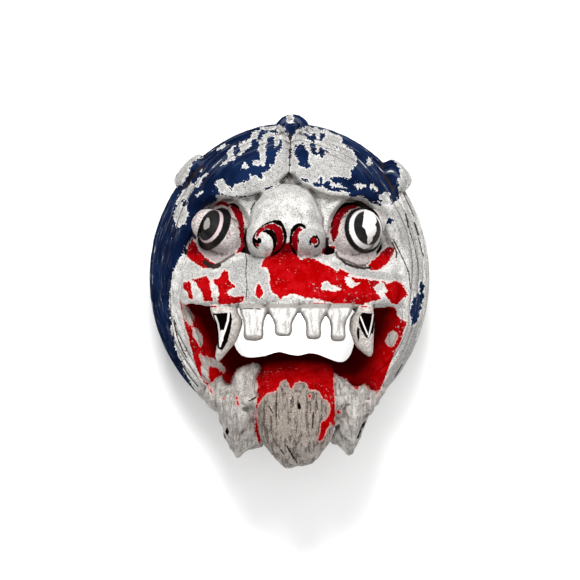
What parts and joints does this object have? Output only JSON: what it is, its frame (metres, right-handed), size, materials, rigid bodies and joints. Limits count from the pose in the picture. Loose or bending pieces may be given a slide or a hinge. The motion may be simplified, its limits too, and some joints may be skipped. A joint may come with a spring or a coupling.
{
  "type": "barong mask",
  "caption": "Carved wooden barong mask: round head with combed hair, bulging eyes, rolled snout, open toothed mouth and hanging tongue, hollowed from behind for a wearer's face.",
  "frame": {"origin": "middle of the back rim's plane, under the middle of the mask's box; the mask lies on its back rim with the face up", "axes": "+Z out of the face, +Y from the chin to the crown, +X to the viewer's right"},
  "size_m": [0.2246, 0.2804, 0.1726],
  "materials": {
    "painted_wood": "worn matt paint"
  },
  "bodies": {
    "root": {"mask": "painted_wood"}
  },
  "joints": []
}
